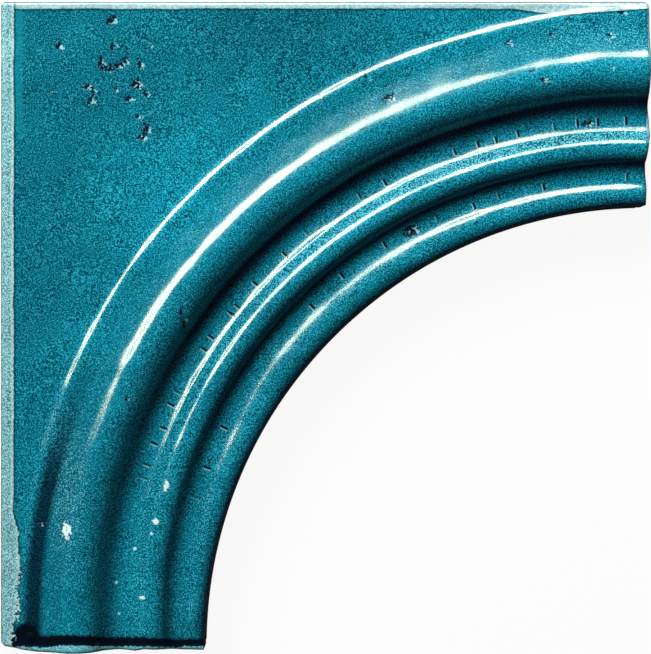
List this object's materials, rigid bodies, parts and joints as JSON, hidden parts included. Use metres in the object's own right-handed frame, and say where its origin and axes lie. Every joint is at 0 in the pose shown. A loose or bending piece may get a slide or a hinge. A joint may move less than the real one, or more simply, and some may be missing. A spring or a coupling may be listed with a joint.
{
  "type": "decorative ceramic tile",
  "caption": "Square gloss-glazed arch corner tile: flat field with a quarter-round opening at one corner, edged by a moulded architrave.",
  "frame": {"origin": "middle of the square outline, on the flat back", "axes": "+Z out of the glazed face, +X and +Y along the edges; the opening is at the +X, -Y corner"},
  "size_m": [0.152, 0.152, 0.0141],
  "materials": {
    "glaze": "teal gloss glaze, darker where it pools in the grooves; unglazed pale back"
  },
  "bodies": {
    "root": {"arch_corner_tile": "glaze"}
  },
  "joints": []
}
